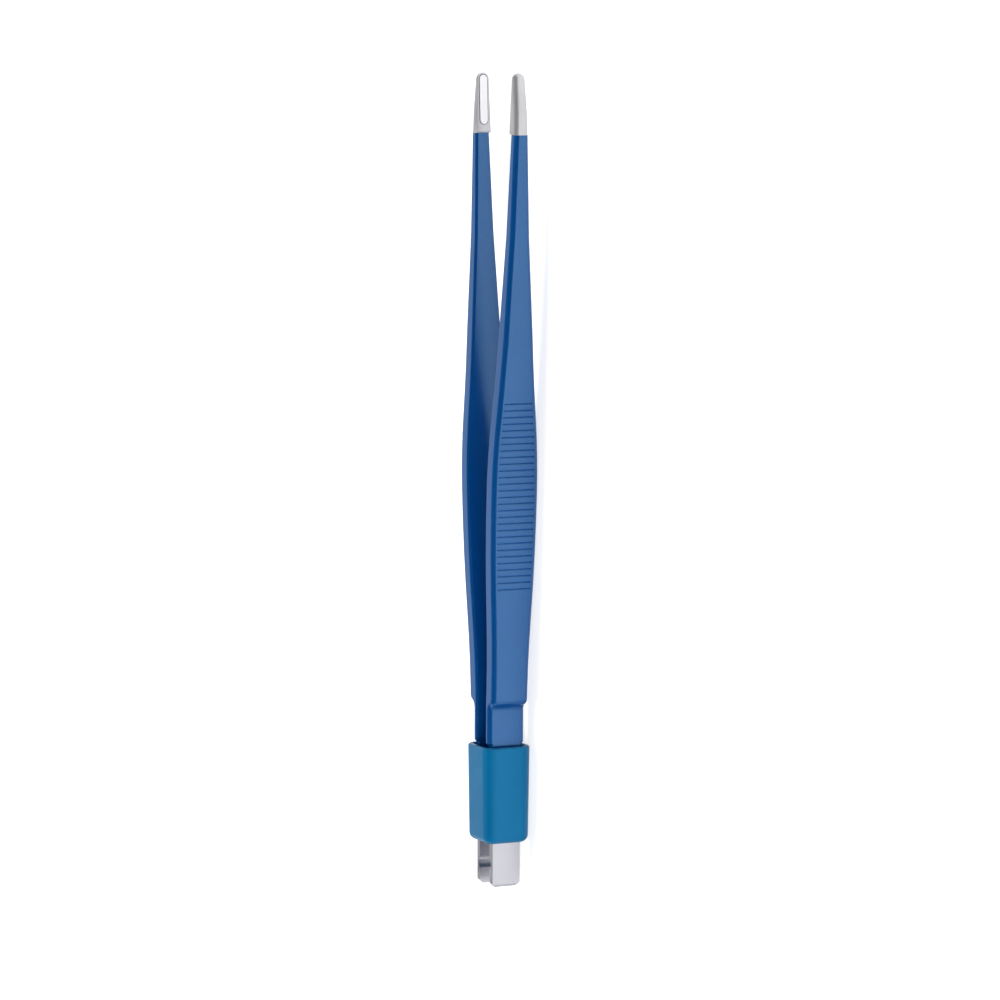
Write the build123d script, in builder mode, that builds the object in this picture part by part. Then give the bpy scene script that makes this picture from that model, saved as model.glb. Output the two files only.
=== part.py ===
from build123d import *
import os
from math import cos, radians, sin

# Bipolar forceps, in millimetres. X runs from the plug to the tips, Y across the opening between the
# arms, and Z across the width of the arms, which lie on edge. Each piece is modelled with X measured
# from the plug's end, and the whole is centred over its own footprint at the end of the script.

# Plug pins
pin_reach = 10.1
pin_width = 6.9
pin_thickness = 1.5
pin_gap = 5.0
pin_corner_cut = 0.9
pin_end_bevel = 0.6
detent_station = 5.0
detent_radius = 1.6
detent_depth = 0.8
anchor_station = 19.0
anchor_diameter = 3.0

# Connector sleeve, a little slimmer towards the plug than at its mouth
sleeve_length = 22.1
mouth_width = 11.7
mouth_height = 12.3
mouth_corner = 2.9
mouth_wall = 1.0
sleeve_draft = 0.85
sleeve_end_radius = 1.7
sleeve_rim_cut = 0.3
pocket_width = 8.7
pocket_height = 8.8
pocket_corner = 1.2
sleeve_floor = 1.8
pin_slot_clearance = 0.05
core_clearance = 0.05

# Arms: steel under a moulded coat, measured over the coat
coat = 0.25
flex_depth = 4.0
heel_clearance = 0.05
coat_stand_off = 0.4
coat_end_wall = 0.6
coat_end_cut = 0.45
neck_coat = 0.2
neck_coat_depth = 2.5
tang_length = 8.1
tang_thickness = 2.0
tang_width = 9.0
ramp_length = 3.0
handle_thickness = 3.95
handle_length = 84.4
taper_length = 44.3
neck_thickness = 2.75
splay = 2.9

# Outline of an arm's broad face, by distance from the bend above the tang
swell_start = 3.4
swell_turn = 20.2
swell_end = 48.2
swell_width = 11.3
waist_station = 83.0
waist_width = 7.25
neck_station = 106.2
neck_start_width = 4.7
neck_width = 3.35
outer_edge_radius = 1.1
inner_edge_radius = 0.6
limb_outer_cut = 0.5
limb_inner_cut = 0.2

# Grip grooves across the outer face
groove_count = 29
groove_pitch = 1.5
groove_first = 26.8
groove_width = 0.5
groove_depth = 0.2
groove_margin = 0.05

# Contact tips
tip_length = 13.6
tip_base_width = 3.45
tip_nose_width = 2.8
tip_nose_thickness = 1.3
tip_proud = 0.6
tip_sunk = 0.15
tip_outer_radius = 1.0
tip_heel_radius = 0.5
pad_length = 11.2
pad_width = 2.0
pad_proud = 0.1
pad_end_margin = 0.5
tenon_length = 5.0
tenon_width = 1.5
tenon_thickness = 1.4

# Places worked out from the sizes above
axis_height = mouth_width / 2
mouth_station = pin_reach + sleeve_length
pivot_station = mouth_station - flex_depth
blade_offset = (pin_gap + pin_thickness) / 2
heel_radius = pin_thickness / 2
ramp_foot = mouth_station + tang_length
bend_station = ramp_foot + ramp_length / 2
coat_start = mouth_station + coat_stand_off
limb_start = coat_start + coat_end_wall
arm_length = handle_length + taper_length
lean = radians(splay)


def along_arm(distance, out):
    """Point at a distance from the bend along an arm's inner face, and out from that face."""
    return (
        bend_station + distance * cos(lean) - out * sin(lean),
        blade_offset - tang_thickness / 2 + distance * sin(lean) + out * cos(lean),
    )


# Planes of an arm's inner face, with its own X along the arm and its own Y up, of a cut across its outer
# face, with its own Y outwards, and of its end, where the tip begins
face_plane = Plane(
    origin=(*along_arm(0, 0), axis_height),
    x_dir=(cos(lean), sin(lean), 0),
    z_dir=(sin(lean), -cos(lean), 0),
)
groove_plane = Plane(
    origin=(*along_arm(0, handle_thickness), 0),
    x_dir=(cos(lean), sin(lean), 0),
    z_dir=(0, 0, 1),
)
tip_base = arm_length
tip_end = tip_base + tip_length
tenon_plane = Plane(
    origin=(*along_arm(tip_base, neck_thickness / 2), axis_height),
    x_dir=(-sin(lean), cos(lean), 0),
    z_dir=(cos(lean), sin(lean), 0),
)


def draw_profile(inset, start):
    """Lines of an arm's side profile from a starting station, drawn inside the coat's surface by inset."""
    inner = blade_offset - tang_thickness / 2 + inset
    outer = blade_offset + tang_thickness / 2 - inset
    ramp_top = ramp_length / 2
    Polyline(
        (ramp_foot, outer),
        (start, outer),
        (start, inner),
        along_arm(0, inset),
        along_arm(tip_base, inset),
        along_arm(tip_base, neck_thickness - inset),
        along_arm(handle_length, handle_thickness - inset),
        along_arm(ramp_top, handle_thickness - inset),
    )
    draw_ramp(
        Vector(*along_arm(ramp_top, handle_thickness - inset)),
        Vector(-cos(lean), -sin(lean)),
        Vector(ramp_foot, outer),
        Vector(-1, 0),
    )


def draw_ramp(start, start_way, end, end_way):
    """Two arcs that leave a start along one direction, reach an end along another and meet smoothly."""
    chord = end - start
    climb = chord.dot(start_way + end_way)
    turning = 2 * (1 - start_way.dot(end_way)) * chord.dot(chord)
    reach = chord.dot(chord) / (climb + (climb**2 + turning) ** 0.5)
    meeting = (start + start_way * reach + end - end_way * reach) / 2
    TangentArc(start, meeting, tangent=start_way)
    TangentArc(end, meeting, tangent=-end_way)


def draw_bend(start, turn_station, end):
    """Two tangent arcs between points whose edges both run along X, meeting where they turn over."""
    share = (turn_station - start[0]) / (end[0] - start[0])
    turn = (turn_station, start[1] + share * (end[1] - start[1]))
    TangentArc(start, turn, tangent=(1, 0))
    TangentArc(end, turn, tangent=(-1, 0))


def draw_outline(inset, start):
    """Lines of an arm's broad-face outline from a local start, drawn inside the coat's surface by inset."""
    half_tang = tang_width / 2 - inset
    half_swell = swell_width / 2 - inset
    waist = Vector(waist_station, waist_width / 2 - inset)
    corner = Vector(neck_station, neck_start_width / 2 - inset)
    with BuildLine() as edge:
        Polyline((start, 0), (start, half_tang), (swell_start, half_tang))
        draw_bend((swell_start, half_tang), swell_turn, (swell_end, half_swell))
        draw_ramp(Vector(swell_end, half_swell), Vector(1, 0), waist, (corner - waist).normalized())
        Polyline(waist, corner, (tip_base, neck_width / 2 - inset), (tip_base, 0))
    add(edge.line)
    mirror(edge.line, about=Plane.XZ)


def is_long(edge):
    """True for an edge that runs along the arm rather than across it."""
    way = edge.tangent_at(0.5)
    return abs(way.X) > max(abs(way.Y), abs(way.Z))


def out_of_face(edge):
    """Distance of an edge's middle from the plane of an arm's inner face."""
    middle = edge @ 0.5
    past_bend = max(0.0, middle.X - bend_station)
    return middle.Y - (blade_offset - tang_thickness / 2) - past_bend * sin(lean)


def is_outside(edge):
    """True for an edge nearer an arm's outer face than its inner face."""
    return out_of_face(edge) > tang_thickness / 2


def is_inside(edge):
    """True for an edge along an arm's inner face."""
    return out_of_face(edge) < inner_edge_radius


# Steel limb: blade, neck with its rounded heel, and the tenon that carries the tip
with BuildPart() as left_arm:
    with BuildSketch(Plane.XY):
        with BuildLine():
            draw_profile(coat, limb_start)
        make_face()
    extrude(amount=mouth_width)
    with BuildSketch(face_plane):
        with BuildLine():
            draw_outline(coat, limb_start - bend_station)
        make_face()
    extrude(amount=mouth_height, both=True, mode=Mode.INTERSECT)
    long_edges = left_arm.edges().filter_by(is_long)
    chamfer(long_edges.filter_by(is_outside), limb_outer_cut)
    long_edges = left_arm.edges().filter_by(is_long)
    chamfer(long_edges.filter_by(is_inside), limb_inner_cut)
    with BuildSketch(Plane.XY.offset(axis_height - pin_width / 2)):
        with Locations((pivot_station, blade_offset)):
            Circle(heel_radius)
            Rectangle(limb_start - pivot_station, pin_thickness, align=(Align.MIN, Align.CENTER))
    extrude(amount=pin_width)
    with BuildSketch(tenon_plane):
        Rectangle(tenon_thickness, tenon_width)
    extrude(amount=tenon_length)

# Grip grooves, as the solid that they remove, ending just inside the rounded edges
with BuildPart() as grip_grooves:
    with BuildSketch(groove_plane):
        with Locations([(groove_first + index * groove_pitch, 0) for index in range(groove_count)]):
            Polygon(
                (-groove_width / 2, 0),
                (0, -groove_depth),
                (groove_width / 2, 0),
                (groove_width / 2, groove_depth),
                (-groove_width / 2, groove_depth),
                align=None,
            )
    extrude(amount=mouth_width)
    with BuildSketch(face_plane):
        with BuildLine():
            draw_outline(outer_edge_radius + groove_margin, coat_start - bend_station)
        make_face()
    extrude(amount=mouth_height, both=True, mode=Mode.INTERSECT)

# Insulating coat over the limb, closed and bevelled at its lower end, with a thin skin down the neck
with BuildPart() as left_coating:
    with BuildSketch(Plane.XY):
        with BuildLine():
            draw_profile(0, coat_start)
        make_face()
    extrude(amount=mouth_width)
    with BuildSketch(face_plane):
        with BuildLine():
            draw_outline(0, coat_start - bend_station)
        make_face()
    extrude(amount=mouth_height, both=True, mode=Mode.INTERSECT)
    long_edges = left_coating.edges().filter_by(is_long)
    fillet(long_edges.filter_by(is_outside), outer_edge_radius)
    long_edges = left_coating.edges().filter_by(is_long)
    fillet(long_edges.filter_by(is_inside), inner_edge_radius)
    chamfer(left_coating.faces().sort_by(Axis.X)[0].edges(), coat_end_cut)
    with BuildSketch(Plane.YZ.offset(mouth_station - neck_coat_depth)):
        with Locations((blade_offset, axis_height)):
            Rectangle(pin_thickness + 2 * neck_coat, pin_width + 2 * neck_coat)
    extrude(amount=neck_coat_depth + coat_stand_off + coat_end_wall)
    add(grip_grooves.part, mode=Mode.SUBTRACT)
    add(left_arm.part, mode=Mode.SUBTRACT)

# Contact tip: flat inside with a raised pad, rounded outside, socketed on the tenon
nose = tip_nose_width / 2
tip_fall = (neck_thickness - tip_sunk + tip_proud - tip_nose_thickness) / tip_length
blank_overlap = 2 * tip_outer_radius
blank_start = tip_base - blank_overlap
blank_rise = blank_overlap * tip_fall
with BuildPart() as left_tip:
    with BuildSketch(Plane.XY):
        with BuildLine():
            Polyline(
                along_arm(blank_start, -tip_proud),
                along_arm(tip_end, -tip_proud),
                along_arm(tip_end, tip_nose_thickness - tip_proud),
                along_arm(tip_base, neck_thickness - tip_sunk),
                along_arm(blank_start, neck_thickness - tip_sunk + blank_rise),
                close=True,
            )
        make_face()
    extrude(amount=mouth_width)
    with BuildSketch(face_plane):
        with BuildLine():
            Line((blank_start, -tip_base_width / 2), (blank_start, tip_base_width / 2))
            CenterArc((tip_end - nose, 0), nose, 0, 360)
        make_hull()
    extrude(amount=mouth_height, both=True, mode=Mode.INTERSECT)
    back = left_tip.faces().filter_by(GeomType.PLANE).sort_by(Axis.Y)[-1]
    fillet(back.edges().sort_by(Axis.X)[1:], tip_outer_radius)
    split(bisect_by=tenon_plane, keep=Keep.TOP)
    base_edges = left_tip.faces().sort_by(Axis.X)[0].edges()
    fillet(base_edges.sort_by(Axis.Y)[0], tip_heel_radius)
    with BuildSketch(face_plane.offset(tip_proud)):
        with Locations((tip_end - pad_end_margin - pad_length / 2, 0)):
            SlotOverall(pad_length, pad_width)
    extrude(amount=pad_proud)
    with BuildSketch(tenon_plane):
        Rectangle(tenon_thickness, tenon_width)
    extrude(amount=tenon_length, mode=Mode.SUBTRACT)

# Flat plug pin, with a detent groove inside, an anchor hole and a cupped end for the arm's heel
pin_plane = Plane(origin=(0, blade_offset, axis_height), x_dir=(1, 0, 0), z_dir=(0, 1, 0))
with BuildPart() as left_contact_pin:
    with BuildSketch(pin_plane) as pin_face:
        Rectangle(pivot_station, pin_width, align=(Align.MIN, Align.CENTER))
        chamfer(pin_face.vertices().group_by(Axis.X)[0], pin_corner_cut)
        with Locations((anchor_station, 0)):
            Circle(anchor_diameter / 2, mode=Mode.SUBTRACT)
    extrude(amount=pin_thickness / 2, both=True)
    end_face = left_contact_pin.faces().sort_by(Axis.X)[0]
    chamfer(end_face.edges().sort_by(Axis.Y)[-1], pin_end_bevel)
    with BuildSketch(Plane.XY):
        with Locations((detent_station, pin_gap / 2 - detent_radius + detent_depth)):
            Circle(detent_radius)
        with Locations((pivot_station, blade_offset)):
            Circle(heel_radius + heel_clearance)
    extrude(amount=mouth_width, mode=Mode.SUBTRACT)

# Right-hand pieces, the same by reflection across the opening
with BuildPart() as right_arm:
    mirror(left_arm.part, about=Plane.XZ)
with BuildPart() as right_coating:
    mirror(left_coating.part, about=Plane.XZ)
with BuildPart() as right_tip:
    mirror(left_tip.part, about=Plane.XZ)
with BuildPart() as right_contact_pin:
    mirror(left_contact_pin.part, about=Plane.XZ)

# Connector sleeve: a tapered shell with a pocket for the core, a wider mouth for the arms and a slot in its
# floor for each pin, its upper half the lower one's reflection so that all four corners are true cones
sleeve_middle = Plane.XY.offset(axis_height)
with BuildPart() as connector_sleeve:
    with BuildSketch(Plane.YZ.offset(mouth_station)):
        with Locations((0, axis_height)):
            RectangleRounded(mouth_height, mouth_width, mouth_corner)
    extrude(amount=-sleeve_length, taper=sleeve_draft)
    split(bisect_by=sleeve_middle, keep=Keep.BOTTOM)
    mirror(about=sleeve_middle)
    fillet(connector_sleeve.faces().sort_by(Axis.X)[0].edges(), sleeve_end_radius)
    chamfer(connector_sleeve.faces().sort_by(Axis.X)[-1].edges(), sleeve_rim_cut)
    with BuildSketch(Plane.YZ.offset(pin_reach + sleeve_floor)):
        with Locations((0, axis_height)):
            RectangleRounded(pocket_height, pocket_width, pocket_corner)
    extrude(amount=sleeve_length, mode=Mode.SUBTRACT)
    with BuildSketch(Plane.YZ.offset(pivot_station)):
        with Locations((0, axis_height)):
            RectangleRounded(
                mouth_height - 2 * mouth_wall,
                mouth_width - 2 * mouth_wall,
                mouth_corner - mouth_wall,
            )
    extrude(amount=sleeve_length, mode=Mode.SUBTRACT)
    with BuildSketch(Plane.YZ):
        with Locations((-blade_offset, axis_height), (blade_offset, axis_height)):
            Rectangle(pin_thickness + 2 * pin_slot_clearance, pin_width + 2 * pin_slot_clearance)
    extrude(amount=mouth_station, mode=Mode.SUBTRACT)

# Insulating core, moulded round the pins, with its pegs through their anchor holes
with BuildPart() as insulating_core:
    with BuildSketch(Plane.YZ.offset(pin_reach + sleeve_floor)):
        with Locations((0, axis_height)):
            RectangleRounded(
                pocket_height - 2 * core_clearance,
                pocket_width - 2 * core_clearance,
                pocket_corner - core_clearance,
            )
    extrude(amount=sleeve_length - sleeve_floor - flex_depth)
    add(left_contact_pin.part, mode=Mode.SUBTRACT)
    add(right_contact_pin.part, mode=Mode.SUBTRACT)
    with BuildSketch(Plane.YZ.offset(pivot_station)):
        with Locations((-blade_offset, axis_height), (blade_offset, axis_height)):
            Rectangle(pin_thickness + 2 * heel_clearance, pin_width + 2 * heel_clearance)
    extrude(amount=-heel_radius - heel_clearance, mode=Mode.SUBTRACT)

pieces = {
    "left_arm": left_arm,
    "right_arm": right_arm,
    "left_coating": left_coating,
    "right_coating": right_coating,
    "left_tip": left_tip,
    "right_tip": right_tip,
    "left_contact_pin": left_contact_pin,
    "right_contact_pin": right_contact_pin,
    "connector_sleeve": connector_sleeve,
    "insulating_core": insulating_core,
}

# Centre the whole over its footprint and write one file for each piece
extent = Compound([piece.part for piece in pieces.values()]).bounding_box()
to_centre = Pos(-extent.center().X, 0, -extent.min.Z)
os.makedirs("parts", exist_ok=True)
for name, piece in pieces.items():
    body = to_centre * piece.part
    body.label = name
    export_step(body, f"parts/{name}.step")
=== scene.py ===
"""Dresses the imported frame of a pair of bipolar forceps.

The forceps lies on one long edge of its sleeve, with its tips towards +X. The near arm is the
one on the -Y side, and the arms open along Y. Every length is in metres.
"""

import logging
import math
from collections.abc import Callable
from dataclasses import dataclass, field
from enum import Enum
from typing import Any

import bmesh
import bpy
from mathutils import Matrix, Vector


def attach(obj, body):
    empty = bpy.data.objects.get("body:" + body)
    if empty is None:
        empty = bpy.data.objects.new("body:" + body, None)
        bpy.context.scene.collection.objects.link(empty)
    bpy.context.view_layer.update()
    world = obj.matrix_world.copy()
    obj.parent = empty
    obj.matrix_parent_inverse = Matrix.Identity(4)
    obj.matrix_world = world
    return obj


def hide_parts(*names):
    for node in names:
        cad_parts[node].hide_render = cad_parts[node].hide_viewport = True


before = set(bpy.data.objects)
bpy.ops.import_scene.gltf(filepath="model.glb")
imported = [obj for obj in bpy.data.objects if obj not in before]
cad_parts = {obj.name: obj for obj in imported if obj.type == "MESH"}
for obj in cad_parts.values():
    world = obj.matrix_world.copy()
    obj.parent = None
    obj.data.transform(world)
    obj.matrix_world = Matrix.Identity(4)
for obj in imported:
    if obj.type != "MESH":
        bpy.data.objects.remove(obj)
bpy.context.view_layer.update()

MM = 0.001
TIP_LEAN = math.radians(2.9)
PAD_HALF_WIDTH = 1.0 * MM
log = logging.getLogger("forceps")

Colour = tuple[float, float, float, float]
Socket = bpy.types.NodeSocket


def linear(red: int, green: int, blue: int) -> Colour:
    """Turns a screen colour of 0 to 255 a channel into Blender's linear colour.

    Args:
        red: The red channel.
        green: The green channel.
        blue: The blue channel.

    Returns:
        The linear colour with an alpha of 1.
    """
    def channel(value: int) -> float:
        """Linear value of one channel, by the sRGB curve."""
        share = value / 255
        return share / 12.92 if share <= 0.04045 else ((share + 0.055) / 1.055) ** 2.4
    return (channel(red), channel(green), channel(blue), 1.0)


def grey(level: float) -> Colour:
    """Colour of an even linear level."""
    return (level, level, level, 1.0)


class Grain(Enum):
    """Which way the fine marks of a finish run."""

    EVEN = (1.0, 1.0, 1.0)
    ALONG = (0.06, 1.0, 1.0)


class NodeBoard:
    """A node tree, with short calls to add and join nodes."""

    MIX_SHARE, MIX_FIRST, MIX_SECOND, MIX_RESULT = 0, 6, 7, 2

    def __init__(self, tree: bpy.types.NodeTree) -> None:
        """Empties the tree."""
        self.tree = tree
        self.tree.nodes.clear()

    def add(self, kind: str, **settings: Any) -> bpy.types.Node:
        """Adds a node.

        Args:
            kind: The node's Blender type name.
            settings: Properties of the node, by name.

        Returns:
            The new node.
        """
        node = self.tree.nodes.new(kind)
        for name, value in settings.items():
            setattr(node, name, value)
        return node

    def join(self, source: Socket, target: Socket) -> None:
        """Links an output to an input."""
        self.tree.links.new(source, target)

    def split(self, vector: Socket) -> tuple[Socket, ...]:
        """Splits a vector.

        Args:
            vector: The vector's socket.

        Returns:
            The sockets of X, Y and Z.
        """
        parts = self.add("ShaderNodeSeparateXYZ")
        self.join(vector, parts.inputs[0])
        return tuple(parts.outputs)

    def calculate(self, operation: str, *terms: Socket | float) -> Socket:
        """Adds one step of arithmetic.

        Args:
            operation: The Math node's operation.
            terms: Its inputs, each a socket or a plain number.

        Returns:
            The socket that carries the result.
        """
        node = self.add("ShaderNodeMath", operation=operation)
        for slot, term in zip(node.inputs, terms):
            if isinstance(term, (int, float)):
                slot.default_value = term
            else:
                self.join(term, slot)
        return node.outputs[0]

    def span(self, source: Socket, low: float, high: float,
             start: float = 0.35, end: float = 0.65) -> Socket:
        """Maps a pattern onto a range, by default the stretch that noise keeps to.

        Args:
            source: The pattern.
            low: The value where the pattern is at start.
            high: The value where the pattern is at end.
            start: The pattern's lower end.
            end: The pattern's upper end.

        Returns:
            The socket that carries the mapped value.
        """
        node = self.add("ShaderNodeMapRange")
        limits = {"From Min": start, "From Max": end, "To Min": low, "To Max": high}
        for name, value in limits.items():
            node.inputs[name].default_value = value
        self.join(source, node.inputs["Value"])
        return node.outputs["Result"]

    def blend(self, share: Socket, first: Colour | Socket, second: Colour) -> Socket:
        """Mixes two colours by a pattern.

        Args:
            share: The pattern that picks the second colour.
            first: The colour, or the socket of one, where the pattern is 0.
            second: The colour where the pattern is 1.

        Returns:
            The socket that carries the colour.
        """
        node = self.add("ShaderNodeMix", data_type="RGBA")
        if isinstance(first, tuple):
            node.inputs[self.MIX_FIRST].default_value = first
        else:
            self.join(first, node.inputs[self.MIX_FIRST])
        node.inputs[self.MIX_SECOND].default_value = second
        self.join(share, node.inputs[self.MIX_SHARE])
        return node.outputs[self.MIX_RESULT]


class MaterialBoard(NodeBoard):
    """The node tree of a new material, whose patterns lie on Object coordinates."""

    BUMP_STRENGTH = 0.5

    def __init__(self, name: str) -> None:
        """Opens an empty material with that name."""
        self.material = bpy.data.materials.new(name)
        self.material.use_nodes = True
        super().__init__(self.material.node_tree)

    def place(self) -> Socket:
        """Adds the Object coordinates."""
        return self.add("ShaderNodeTexCoord").outputs["Object"]

    def noise(self, size: float, detail: float, grain: Grain = Grain.EVEN) -> Socket:
        """Adds a noise pattern.

        Args:
            size: The size of a mark.
            detail: Octaves of finer marks.
            grain: The way that the marks run.

        Returns:
            The socket that carries the pattern, 0 to 1.
        """
        turn = self.add("ShaderNodeMapping")
        turn.inputs["Scale"].default_value = grain.value
        pattern = self.add("ShaderNodeTexNoise")
        pattern.inputs["Scale"].default_value = 1 / size
        pattern.inputs["Detail"].default_value = detail
        self.join(self.place(), turn.inputs["Vector"])
        self.join(turn.outputs["Vector"], pattern.inputs["Vector"])
        return pattern.outputs["Fac"]

    def relief(self, height: Socket, depth: float) -> Socket:
        """Adds a bump.

        Args:
            height: The pattern, 0 to 1.
            depth: The real depth of the marks.

        Returns:
            The socket that carries the bent normal.
        """
        node = self.add("ShaderNodeBump")
        node.inputs["Distance"].default_value = depth
        node.inputs["Strength"].default_value = self.BUMP_STRENGTH
        self.join(height, node.inputs["Height"])
        return node.outputs["Normal"]

    def close(self, surface: Socket) -> bpy.types.Material:
        """Joins a shader to the material's output.

        Args:
            surface: The shader's socket.

        Returns:
            The finished material.
        """
        output = self.add("ShaderNodeOutputMaterial")
        self.join(surface, output.inputs["Surface"])
        return self.material

    def shade(self, colour: Socket, roughness: Socket, normal: Socket,
              **plain: Any) -> bpy.types.Material:
        """Closes the tree with a Principled shader.

        Args:
            colour: The base colour.
            roughness: The roughness.
            normal: The bent normal.
            plain: Plain values of further sockets, by name with _ for a space.

        Returns:
            The finished material.
        """
        shader = self.add("ShaderNodeBsdfPrincipled")
        for name, value in plain.items():
            shader.inputs[name.replace("_", " ")].default_value = value
        self.join(colour, shader.inputs["Base Color"])
        self.join(roughness, shader.inputs["Roughness"])
        self.join(normal, shader.inputs["Normal"])
        return self.close(shader.outputs["BSDF"])


@dataclass(frozen=True)
class MouldedFinish:
    """A moulded plastic: even colour, soft gloss and a faint orange peel.

    Attributes:
        name: The material's name.
        colour: The main colour.
        cloud: The colour that faint clouds turn it to.
        roughness: The least and the most, where hands have rubbed it.
        peel: The size of a dimple of the orange peel.
        peel_depth: The depth of a dimple.
        specular: The strength of what it mirrors.
        tint: The colour of what it mirrors.
        ior: The index of refraction.
        cloud_size: The size of a cloud.
        rub_size: The size of a rubbed place.
    """

    name: str
    colour: Colour
    cloud: Colour
    roughness: tuple[float, float]
    peel: float = 2 * MM
    peel_depth: float = 0.004 * MM
    specular: float = 0.5
    tint: Colour = grey(1.0)
    ior: float = 1.5
    cloud_size: float = 14 * MM
    rub_size: float = 5 * MM

    def material(self) -> bpy.types.Material:
        """Builds the plastic.

        Returns:
            The material.
        """
        board = MaterialBoard(self.name)
        clouds = board.noise(self.cloud_size, detail=3.0)
        colour = board.blend(board.span(clouds, 0.0, 1.0), self.colour, self.cloud)
        roughness = board.span(board.noise(self.rub_size, detail=5.0), *self.roughness)
        normal = board.relief(board.noise(self.peel, detail=1.0), self.peel_depth)
        return board.shade(colour, roughness, normal, Specular_IOR_Level=self.specular,
                           Specular_Tint=self.tint, IOR=self.ior)


@dataclass(frozen=True)
class MetalFinish:
    """A satin metal, with faint marks that run one way.

    Attributes:
        name: The material's name.
        colour: The main colour.
        cloud: The colour that faint clouds turn it to.
        roughness: The least and the most, on and between the marks.
        grain: The way that the marks run.
        mark: The width of a mark.
        mark_depth: The depth of a mark.
        metallic: How far it mirrors as metal does.
        cloud_size: The size of a cloud.
    """

    name: str
    colour: Colour
    cloud: Colour
    roughness: tuple[float, float]
    grain: Grain = Grain.ALONG
    mark: float = 0.3 * MM
    mark_depth: float = 0.0006 * MM
    metallic: float = 0.75
    cloud_size: float = 9 * MM

    def tone(self, board: MaterialBoard) -> Socket:
        """Lays out the colour.

        Args:
            board: The material's nodes.

        Returns:
            The socket that carries the colour.
        """
        clouds = board.noise(self.cloud_size, detail=1.0)
        return board.blend(board.span(clouds, 0.0, 1.0), self.colour, self.cloud)

    def material(self) -> bpy.types.Material:
        """Builds the metal.

        Returns:
            The material.
        """
        board = MaterialBoard(self.name)
        marks = board.noise(self.mark, detail=1.0, grain=self.grain)
        roughness = board.span(marks, *self.roughness)
        normal = board.relief(marks, self.mark_depth)
        return board.shade(self.tone(board), roughness, normal, Metallic=self.metallic)


@dataclass(frozen=True)
class TipFinish(MetalFinish):
    """The tips' satin alloy, with painted reflection on the polished contact face inside a thin
    rim of painted shade.

    Attributes:
        painted_pad_reflection: The contact face's colour, painted near white for the reflection
            in its polish.
        painted_rim_shade: The colour of the painted shade in a thin rim round it, where it steps
            up.
        lean: The angle of each tip's inner side to the long axis.
        bend: The place along X where that lean starts.
        inner_side: The inner side's distance from the middle plane at the bend.
        face_rise: How much nearer to the middle plane the contact face is counted from.
        pad_middle: The middle of the contact face along X.
        pad_straight: Half the straight part of the contact face.
        pad_half_width: Half its width.
        line_width: The width of that rim of painted shade.
        middle_height: Its middle along Z.
    """

    # Painted reflection: near white where the polished contact face mirrors the light.
    painted_pad_reflection: Colour = linear(250, 250, 253)
    # Painted shade: the dark rim where the contact face steps up from the inner side.
    painted_rim_shade: Colour = linear(92, 92, 100)
    lean: float = TIP_LEAN
    bend: float = -50.174 * MM
    inner_side: float = 2.25 * MM
    face_rise: float = 0.56 * MM
    pad_middle: float = 85.89 * MM
    pad_straight: float = 4.6 * MM
    pad_half_width: float = PAD_HALF_WIDTH
    line_width: float = 0.16 * MM
    middle_height: float = 5.845 * MM

    def tone(self, board: MaterialBoard) -> Socket:
        """Lays out the colour: the contact face, towards the other arm, gets painted reflection
        and a rim of painted shade.

        Args:
            board: The material's nodes.

        Returns:
            The socket that carries the colour.
        """
        along, across, up = board.split(board.place())
        run = board.calculate("SUBTRACT", along, self.bend)
        slope = board.calculate("MULTIPLY", run, math.tan(self.lean))
        face = board.calculate("ADD", slope, self.inner_side - self.face_rise)
        inside = board.calculate("LESS_THAN", board.calculate("ABSOLUTE", across), face)
        distance = self.from_spine(board, along, up)

        def within(reach: float) -> Socket:
            """Adds the mask of the inner side's points that are so near the contact face's middle
            axis.
            """
            near = board.calculate("LESS_THAN", distance, reach)
            return board.calculate("MULTIPLY", near, inside)

        # Painted shade: everything out to the rim's outer edge goes dark first, for the shade at
        # the face's step.
        outer = within(self.pad_half_width + self.line_width / 2)
        # Painted reflection: the contact face inside that rim goes near white, for the reflection
        # in its polish.
        inner = within(self.pad_half_width - self.line_width / 2)
        tone_with_painted_rim = board.blend(outer, super().tone(board), self.painted_rim_shade)
        return board.blend(inner, tone_with_painted_rim, self.painted_pad_reflection)

    def from_spine(self, board: MaterialBoard, along: Socket, up: Socket) -> Socket:
        """Works out how far a point is from the contact face's middle axis.

        Args:
            board: The material's nodes.
            along: The point's X.
            up: The point's Z.

        Returns:
            The socket that carries the distance.
        """
        reach = board.calculate("ABSOLUTE", board.calculate("SUBTRACT", along, self.pad_middle))
        past = board.calculate("SUBTRACT", reach, self.pad_straight)
        past = board.calculate("MAXIMUM", past, 0.0)
        aside = board.calculate("SUBTRACT", up, self.middle_height)
        squares = board.calculate("ADD", board.calculate("MULTIPLY", past, past),
                                  board.calculate("MULTIPLY", aside, aside))
        return board.calculate("SQRT", squares)


COAT = MouldedFinish("blue_coat", linear(4, 77, 144), linear(3, 74, 140), (0.14, 0.18),
                     peel=2.4 * MM, peel_depth=0.0015 * MM,
                     specular=1.0, tint=(0.38, 0.66, 1.0, 1.0), ior=1.66)
SLEEVE = MouldedFinish("teal_sleeve", linear(3, 108, 158), linear(3, 104, 154), (0.34, 0.4),
                       peel=1.2 * MM, peel_depth=0.002 * MM,
                       specular=0.65, tint=(0.25, 0.7, 1.0, 1.0))
CORE = MouldedFinish("core_moulding", linear(10, 52, 92), linear(8, 46, 84), (0.4, 0.5))
STEEL = MetalFinish("spring_steel", linear(186, 188, 190), linear(176, 178, 181), (0.28, 0.4))
TIP_ALLOY = TipFinish("tip_alloy", linear(213, 213, 216), linear(208, 208, 211), (0.4, 0.46),
                      metallic=0.6)
PIN_METAL = MetalFinish("pin_plating", linear(196, 196, 203), linear(191, 191, 198),
                        (0.31, 0.35), mark_depth=0.0002 * MM, metallic=0.93)


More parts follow.
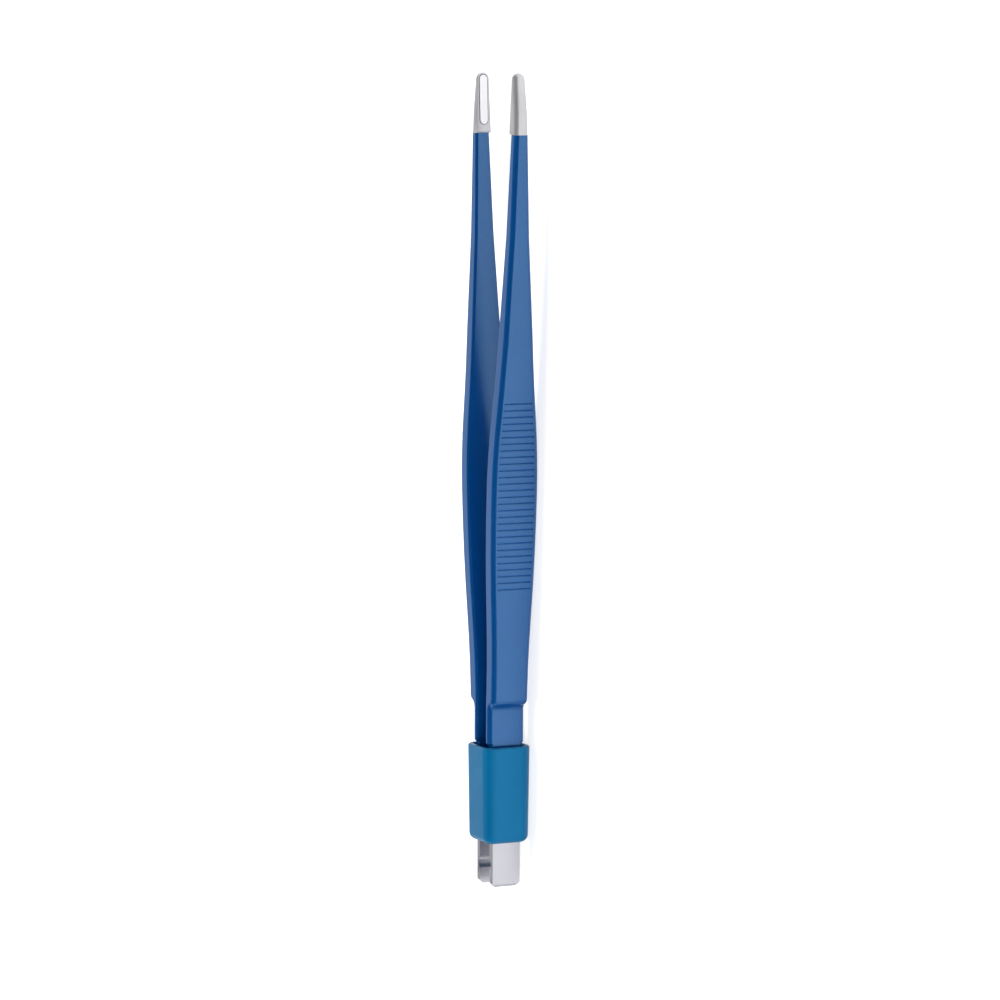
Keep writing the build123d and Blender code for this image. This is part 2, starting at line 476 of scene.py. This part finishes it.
@dataclass
class Shading:
    """Modifiers that join a CAD node's loose triangles and shade its curves smooth.

    Attributes:
        name: The name of the node group that all its nodes share.
        softest: The steepest edge, in degrees, that is shaded smooth.
        weld_reach: The distance within which corners are one.
        bevel_angle: The least edge, in degrees, that a bevel breaks.
        bevel_facets: The facets of such a bevel.
    """

    name: str
    softest: float
    weld_reach: float = 0.0004 * MM
    bevel_angle: float = 35.0
    bevel_facets: int = 2

    def __post_init__(self) -> None:
        """Builds the node group, which drops the stored normals and sets smooth edges."""
        self.group = bpy.data.node_groups.new(self.name, "GeometryNodeTree")
        for way in ("INPUT", "OUTPUT"):
            self.group.interface.new_socket("Geometry", in_out=way,
                                            socket_type="NodeSocketGeometry")
        board = NodeBoard(self.group)
        start = board.add("NodeGroupInput")
        end = board.add("NodeGroupOutput")
        bare = board.add("GeometryNodeRemoveAttribute")
        bare.inputs["Name"].default_value = "custom_normal"
        faces = board.add("GeometryNodeSetShadeSmooth", domain="FACE")
        edges = board.add("GeometryNodeSetShadeSmooth", domain="EDGE")
        angle = board.add("GeometryNodeInputMeshEdgeAngle")
        gentle = board.add("FunctionNodeCompare", operation="LESS_THAN")
        gentle.inputs[1].default_value = math.radians(self.softest)
        board.join(start.outputs[0], bare.inputs["Geometry"])
        board.join(bare.outputs["Geometry"], faces.inputs["Geometry"])
        board.join(faces.outputs["Geometry"], edges.inputs["Geometry"])
        board.join(angle.outputs["Unsigned Angle"], gentle.inputs[0])
        board.join(gentle.outputs[0], edges.inputs["Shade Smooth"])
        board.join(edges.outputs["Geometry"], end.inputs[0])

    def dress(self, name: str, material: bpy.types.Material, round_off: float = 0.0) -> None:
        """Gives a CAD node its material, its rounded edges and its shading.

        Args:
            name: The CAD node's name.
            material: The material that it gets.
            round_off: The radius that breaks its sharp edges, 0 for none.
        """
        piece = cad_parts[name]
        piece.data.materials.clear()
        piece.data.materials.append(material)
        weld = piece.modifiers.new("weld", "WELD")
        weld.merge_threshold = self.weld_reach
        if round_off:
            bevel = piece.modifiers.new("edge_break", "BEVEL")
            bevel.width = round_off
            bevel.segments = self.bevel_facets
            bevel.limit_method = "ANGLE"
            bevel.angle_limit = math.radians(self.bevel_angle)
            bevel.use_clamp_overlap = True
        smoothing = piece.modifiers.new("smooth_edges", "NODES")
        smoothing.node_group = self.group
        weighting = piece.modifiers.new("flat_faces_first", "WEIGHTED_NORMAL")
        weighting.mode = "FACE_AREA"
        weighting.keep_sharp = True
        log.info("dressed %s with %s", name, material.name)


@dataclass
class Insulation:
    """The blue coat on both arms, shaded soft over its grip grooves and its bevelled ends."""

    shading: Shading
    nodes: tuple[str, ...] = ("left_coating", "right_coating")

    def dress(self) -> None:
        """Gives both coats their plastic."""
        plastic = COAT.material()
        for name in self.nodes:
            self.shading.dress(name, plastic)


@dataclass
class Arms:
    """The steel arms inside the coat."""

    shading: Shading
    nodes: tuple[str, ...] = ("left_arm", "right_arm")

    def dress(self) -> None:
        """Gives both arms their steel."""
        steel = STEEL.material()
        for name in self.nodes:
            self.shading.dress(name, steel)


@dataclass
class Tips:
    """The two alloy tips, flat inside with a raised contact face and full and rounded outside.

    A tip is built along +X from its base, with its own +Y away from the other arm, and then
    laid at the end of its arm. The back swells a little between the base and the nose.

    Attributes:
        length: From base to nose.
        base_half_width: Half the width at the base.
        nose_half_width: Half the width at the nose.
        inner: The inner side's Y.
        base_outer: The back's Y at the base.
        nose_outer: The back's Y at the nose.
        swell_place: The place of the swell along X.
        swell_outer: The back's Y at the swell.
        nose_round: The rounding of the nose, seen from the side towards the other arm.
        back_round: The rounding of the back's long edges.
        heel_round: The rounding of the base's inner edge.
        inner_round: The rounding of the inner side's edges.
        back_floor: The least Y of an edge on the back.
        inner_start: The least X of an inner edge that is rounded.
        pad_start: The place along X where the contact face starts.
        pad_length: The contact face's length.
        pad_half_width: Half its width.
        pad_proud: How far it stands up from the inner side.
        pad_corner: Its corners' rounding as a share of its half width.
        snap: The distance along X within which a point counts as in place.
        level: The distance within which a point counts as on the inner side.
        nose_height: The least span along Y of an upright edge at the nose.
        sharp: The least turn of an edge that is rounded.
        smooth: The most turn of an edge that is shaded smooth.
        lean: The tip's angle to the long axis.
        base: The place of its base on the left arm.
        sides: Each side's name with the sign of its Y.
    """

    length: float = 13.6 * MM
    base_half_width: float = 1.68 * MM
    nose_half_width: float = 1.4 * MM
    inner: float = -0.6 * MM
    base_outer: float = 2.6 * MM
    nose_outer: float = 0.7 * MM
    swell_place: float = 5.4 * MM
    swell_outer: float = 2.16 * MM
    nose_round: float = 1.36 * MM
    back_round: float = 1.08 * MM
    heel_round: float = 0.45 * MM
    inner_round: float = 0.14 * MM
    back_floor: float = 0.6 * MM
    inner_start: float = 0.4 * MM
    pad_start: float = 1.9 * MM
    pad_length: float = 11.2 * MM
    pad_half_width: float = PAD_HALF_WIDTH
    pad_proud: float = 0.1 * MM
    pad_corner: float = 0.98
    snap: float = 0.1 * MM
    level: float = 0.01 * MM
    nose_height: float = 0.5 * MM
    sharp: float = math.radians(35)
    smooth: float = math.radians(30)
    lean: float = TIP_LEAN
    base: tuple[float, float, float] = (78.36 * MM, 8.761 * MM, 5.8455 * MM)
    sides: tuple[tuple[str, float], ...] = (("left", 1.0), ("right", -1.0))

    def dress(self) -> None:
        """Builds both tips in place of their CAD nodes."""
        alloy = TIP_ALLOY.material()
        for side, mirror in self.sides:
            piece = self.build(f"{side}_contact_tip", mirror)
            piece.data.materials.append(alloy)
            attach(piece, f"{side}_limb")
            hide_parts(f"{side}_tip")
            log.info("built %s", piece.name)

    def build(self, name: str, mirror: float) -> bpy.types.Object:
        """Builds one tip.

        Args:
            name: The piece's name.
            mirror: 1 for the left arm and -1 for the right one.

        Returns:
            The tip's object, at the end of its arm.
        """
        bm = bmesh.new()
        self.block_out(bm)
        self.round_body(bm)
        self.add_pad(bm)
        bmesh.ops.rotate(bm, cent=(0, 0, 0), matrix=Matrix.Rotation(self.lean, 3, "Z"),
                         verts=bm.verts)
        bmesh.ops.translate(bm, vec=self.base, verts=bm.verts)
        bmesh.ops.scale(bm, vec=(1, mirror, 1), verts=bm.verts)
        bmesh.ops.recalc_face_normals(bm, faces=bm.faces)
        for face in bm.faces:
            face.smooth = True
        for edge in bm.edges:
            edge.smooth = edge.calc_face_angle(0) < self.smooth
        return link_mesh(name, bm)

    def block_out(self, bm: bmesh.types.BMesh) -> None:
        """Makes the tapered body from a cube, with the swell in its back.

        Args:
            bm: The empty mesh that it is built in.
        """
        bmesh.ops.create_cube(bm, size=1.0)
        bmesh.ops.scale(bm, vec=(self.length, self.base_outer - self.inner,
                                 2 * self.base_half_width), verts=bm.verts)
        bmesh.ops.translate(bm, vec=(self.length / 2, (self.base_outer + self.inner) / 2, 0),
                            verts=bm.verts)
        nose = [vert for vert in bm.verts if vert.co.x > self.length / 2]
        bmesh.ops.scale(bm, vec=(1, 1, self.nose_half_width / self.base_half_width), verts=nose)
        bmesh.ops.translate(bm, vec=(0, self.nose_outer - self.base_outer, 0),
                            verts=[vert for vert in nose if vert.co.y > 0])
        bmesh.ops.bisect_plane(bm, geom=bm.verts[:] + bm.edges[:] + bm.faces[:],
                               plane_co=(self.swell_place, 0, 0), plane_no=(1, 0, 0))
        ridge = [vert for vert in bm.verts if self.on_swell(vert.co) and vert.co.y > 0]
        bmesh.ops.translate(bm, vec=(0, self.swell_outer - ridge[0].co.y, 0), verts=ridge)

    def round_body(self, bm: bmesh.types.BMesh) -> None:
        """Rounds the nose, the back, the heel and the inner side, in that order.

        Args:
            bm: The mesh that holds the body.
        """
        self.round_off(bm, self.is_nose, self.nose_round, facets=10)
        self.round_off(bm, self.is_back, self.back_round, facets=7)
        self.round_off(bm, self.is_heel, self.heel_round, facets=4)
        self.round_off(bm, self.is_inner, self.inner_round, facets=2)

    def add_pad(self, bm: bmesh.types.BMesh) -> None:
        """Adds the raised contact face, round at both ends.

        Args:
            bm: The mesh that holds the body.
        """
        made = bmesh.ops.create_cube(bm, size=1.0)["verts"]
        bmesh.ops.scale(bm, vec=(self.pad_length, 2 * self.pad_proud, 2 * self.pad_half_width),
                        verts=made)
        bmesh.ops.translate(bm, vec=(self.pad_start + self.pad_length / 2, self.inner, 0),
                            verts=made)
        corners = [edge for edge in bm.edges if edge.verts[0] in made
                   and abs(edge.verts[0].co.y - edge.verts[1].co.y) > self.pad_proud]
        self.bevel(bm, corners, self.pad_corner * self.pad_half_width, facets=10)

    def on_swell(self, point: Vector) -> bool:
        """True for a point at the swell."""
        return abs(point.x - self.swell_place) < self.snap

    def on_inner_side(self, *points: Vector) -> bool:
        """True where all the points lie on the inner side."""
        return max(point.y for point in points) < self.inner + self.level

    def is_cross(self, first: Vector, second: Vector) -> bool:
        """True for an edge that runs straight across the tip at its swell."""
        return self.on_swell(first) and self.on_swell(second)

    def is_nose(self, first: Vector, second: Vector) -> bool:
        """True for an edge from the inner side to the back, at the nose."""
        upright = abs(first.y - second.y) > self.nose_height
        return upright and min(first.x, second.x) > self.length - self.snap

    def is_back(self, first: Vector, second: Vector) -> bool:
        """True for an edge round the back, apart from the base's and the swell's."""
        outside = min(first.y, second.y) > self.back_floor
        return outside and max(first.x, second.x) > self.snap and not self.is_cross(first, second)

    def is_heel(self, first: Vector, second: Vector) -> bool:
        """True for the base's inner edge."""
        return max(first.x, second.x) < self.snap and self.on_inner_side(first, second)

    def is_inner(self, first: Vector, second: Vector) -> bool:
        """True for an edge round the inner side, apart from the heel's and the swell's."""
        ahead = min(first.x, second.x) > self.inner_start
        return ahead and self.on_inner_side(first, second) and not self.is_cross(first, second)

    def round_off(self, bm: bmesh.types.BMesh, wanted: Callable[[Vector, Vector], bool],
                  radius: float, facets: int) -> None:
        """Rounds the edges that a test picks, where they turn sharply.

        Args:
            bm: The mesh.
            wanted: The test, given the places of an edge's two ends.
            radius: The rounding's radius.
            facets: Its number of facets.
        """
        edges = [edge for edge in bm.edges if wanted(edge.verts[0].co, edge.verts[1].co)
                 and edge.calc_face_angle(0) > self.sharp]
        self.bevel(bm, edges, radius, facets)

    def bevel(self, bm: bmesh.types.BMesh, edges: list[bmesh.types.BMEdge], radius: float,
              facets: int) -> None:
        """Bevels edges round.

        Args:
            bm: The mesh.
            edges: The edges.
            radius: The bevel's reach along the faces beside an edge.
            facets: Its number of facets.
        """
        bmesh.ops.bevel(bm, geom=edges, offset=radius, offset_type="OFFSET", affect="EDGES",
                        segments=facets, profile=0.5, material=-1, clamp_overlap=True)


@dataclass
class Connector:
    """The sleeve, the core inside it and the two contact pins."""

    shading: Shading
    pins: tuple[str, ...] = ("left_contact_pin", "right_contact_pin")
    pin_edge: float = 0.12 * MM

    def dress(self) -> None:
        """Gives the sleeve, the core and the pins their finishes."""
        self.shading.dress("connector_sleeve", SLEEVE.material())
        self.shading.dress("insulating_core", CORE.material())
        plating = PIN_METAL.material()
        for name in self.pins:
            self.shading.dress(name, plating, self.pin_edge)


def link_mesh(name: str, bm: bmesh.types.BMesh) -> bpy.types.Object:
    """Turns a bmesh into an object of the scene.

    Args:
        name: The object's name.
        bm: The bmesh, which is freed.

    Returns:
        The object, at the origin.
    """
    mesh = bpy.data.meshes.new(name)
    bm.to_mesh(mesh)
    bm.free()
    piece = bpy.data.objects.new(name, mesh)
    bpy.context.scene.collection.objects.link(piece)
    return piece


@dataclass
class Softbox:
    """A square lamp that faces the object and that nothing mirrors.

    Attributes:
        name: The lamp's name.
        direction: The way from the object to the lamp.
        distance: How far off it hangs.
        side: The length of its side.
        watts: Its power.
    """

    name: str
    direction: tuple[float, float, float]
    distance: float
    side: float
    watts: float

    def build(self) -> None:
        """Hangs the lamp where its direction and distance say."""
        data = bpy.data.lights.new(self.name, "AREA")
        data.shape = "SQUARE"
        data.size = self.side
        data.energy = self.watts
        lamp = bpy.data.objects.new(self.name, data)
        lamp.visible_glossy = False
        bpy.context.scene.collection.objects.link(lamp)
        out = Vector(self.direction).normalized()
        lamp.location = out * self.distance
        lamp.rotation_euler = (-out).to_track_quat("-Z", "Y").to_euler()


@dataclass
class Floor:
    """The pale floor, which glows a little where the camera or a mirror sees it.

    Attributes:
        side: The length of its side.
        drop: How far it lies under the object.
        paleness: The linear level of its paper.
        seen_glow: The glow that the camera sees.
        mirrored_glow: The glow that the object mirrors.
        plug_end_glow: The mirrored glow in faces that lean towards the plug end.
        fade: The stretch of that lean over which the mirrored glow fades.
    """

    side: float = 30.0
    drop: float = 0.02 * MM
    paleness: float = 0.85
    seen_glow: float = 0.65
    mirrored_glow: float = 0.55
    plug_end_glow: float = 0.05
    fade: tuple[float, float] = (0.2, 0.6)

    def build(self) -> None:
        """Lays the floor under the object."""
        bm = bmesh.new()
        bmesh.ops.create_grid(bm, x_segments=1, y_segments=1, size=self.side / 2)
        bmesh.ops.translate(bm, vec=(0, 0, -self.drop), verts=bm.verts)
        floor = link_mesh("floor", bm)
        floor.data.materials.append(self.material())

    def material(self) -> bpy.types.Material:
        """Builds the paper and its glow.

        Returns:
            The material.
        """
        board = MaterialBoard("floor_paper")
        light_path = board.add("ShaderNodeLightPath")
        paper = board.add("ShaderNodeBsdfDiffuse")
        paper.inputs["Color"].default_value = grey(self.paleness)
        towards_tips, _, _ = board.split(board.add("ShaderNodeNewGeometry").outputs["Incoming"])
        fading = board.span(towards_tips, self.mirrored_glow, self.plug_end_glow, *self.fade)
        seen = board.calculate("MULTIPLY", light_path.outputs["Is Camera Ray"], self.seen_glow)
        mirrored = board.calculate("MULTIPLY", light_path.outputs["Is Glossy Ray"], fading)
        glow = board.add("ShaderNodeEmission")
        board.join(board.calculate("ADD", seen, mirrored), glow.inputs["Strength"])
        both = board.add("ShaderNodeAddShader")
        board.join(paper.outputs[0], both.inputs[0])
        board.join(glow.outputs[0], both.inputs[1])
        return board.close(both.outputs[0])


@dataclass
class Room:
    """The world: white to the camera, a dim even light, and in mirrors a dark ceiling.

    Attributes:
        ambient: The level of the even light.
        ceiling: The mirrored level at each height of a direction, 0 level and 1 straight up.
        front_lift: How much higher a direction in front of the object is counted.
    """

    ambient: float = 0.2
    ceiling: tuple[tuple[float, float], ...] = ((0.05, 1.0), (0.3, 0.85), (0.46, 0.66),
                                                (0.62, 0.05), (1.0, 0.02))
    front_lift: float = 0.5

    def build(self) -> None:
        """Makes the world and lights it."""
        world = bpy.data.worlds.new("studio")
        bpy.context.scene.world = world
        world.use_nodes = True
        board = NodeBoard(world.node_tree)
        place = board.add("ShaderNodeTexCoord").outputs["Generated"]
        _, back, up = board.split(place)
        front = board.calculate("MINIMUM", back, 0.0)
        height = board.calculate("MULTIPLY_ADD", front, -self.front_lift, up)
        light_path = board.add("ShaderNodeLightPath")
        colour = board.blend(light_path.outputs["Is Diffuse Ray"], self.paint(board, height),
                             grey(self.ambient))
        colour = board.blend(light_path.outputs["Is Camera Ray"], colour, grey(1.0))
        background = board.add("ShaderNodeBackground")
        output = board.add("ShaderNodeOutputWorld")
        board.join(colour, background.inputs["Color"])
        board.join(background.outputs[0], output.inputs["Surface"])

    def paint(self, board: NodeBoard, height: Socket) -> Socket:
        """Paints the room that the object mirrors.

        Args:
            board: The world's nodes.
            height: The height of a direction.

        Returns:
            The socket that carries the colour.
        """
        room = board.add("ShaderNodeValToRGB")
        steps = room.color_ramp.elements
        steps[0].position = self.ceiling[0][0]
        steps[1].position = self.ceiling[-1][0]
        for position, _ in self.ceiling[1:-1]:
            steps.new(position)
        for step, (_, level) in zip(steps, self.ceiling):
            step.color = grey(level)
        board.join(height, room.inputs["Fac"])
        return room.outputs["Color"]


@dataclass
class Viewpoint:
    """The camera, turned so that the tips point up in the picture.

    Attributes:
        distance: From the aim to the camera.
        azimuth: The way round the object, from the near side towards the tips.
        elevation: The angle above the floor.
        roll: The turn about the axis of sight.
        aim: The point in the middle of the picture.
        pixels_per_metre: The picture's scale at the aim.
        picture_side: The picture's side in pixels.
        sensor: The camera's sensor width in millimetres.
        clip: The nearest and farthest distance that it sees.
    """

    distance: float = 1.0174
    azimuth: float = math.radians(6.7353)
    elevation: float = math.radians(25.7316)
    roll: float = math.radians(0.1265)
    aim: tuple[float, float, float] = (-4.0845 * MM, 0.0, 5.6569 * MM)
    pixels_per_metre: float = 4429.9
    picture_side: float = 1000.0
    sensor: float = 36.0
    clip: tuple[float, float] = (0.05, 60.0)

    def build(self) -> None:
        """Sets up the camera."""
        data = bpy.data.cameras.new("camera")
        data.sensor_width = self.sensor
        data.lens = self.sensor * self.distance * self.pixels_per_metre / self.picture_side
        data.clip_start, data.clip_end = self.clip
        camera = bpy.data.objects.new("camera", data)
        bpy.context.scene.collection.objects.link(camera)
        out = Vector((math.sin(self.azimuth) * math.cos(self.elevation),
                      -math.cos(self.azimuth) * math.cos(self.elevation),
                      math.sin(self.elevation)))
        up = (Vector((1, 0, 0)) - out * out.x).normalized()
        up.rotate(Matrix.Rotation(self.roll, 3, out))
        right = up.cross(out)
        camera.rotation_euler = Matrix((right, up, out)).transposed().to_euler()
        camera.location = Vector(self.aim) + out * self.distance
        bpy.context.scene.camera = camera


@dataclass
class Studio:
    """The floor, the room, the lamps and the camera."""

    floor: Floor = field(default_factory=Floor)
    room: Room = field(default_factory=Room)
    softboxes: tuple[Softbox, ...] = (
        Softbox("front_softbox", (-0.5, -1.0, 0.2), distance=0.45, side=0.4, watts=1.7),
        Softbox("top_softbox", (0.0, 0.6, 1.0), distance=1.6, side=1.4, watts=24.0),
    )
    viewpoint: Viewpoint = field(default_factory=Viewpoint)

    def build(self) -> None:
        """Builds the whole studio."""
        bpy.context.scene.view_settings.view_transform = "Standard"
        for part in (self.floor, self.room, *self.softboxes, self.viewpoint):
            part.build()
        log.info("studio ready")


def main() -> None:
    """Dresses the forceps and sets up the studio."""
    logging.basicConfig(level=logging.INFO, format="%(name)s: %(message)s")
    crisp = Shading("crisp_shading", softest=24.0)
    soft = Shading("soft_shading", softest=50.0)
    for assembly in (Insulation(soft), Arms(crisp), Tips(), Connector(crisp)):
        assembly.dress()
    Studio().build()
    bpy.context.view_layer.update()


if __name__ == "__main__":
    main()
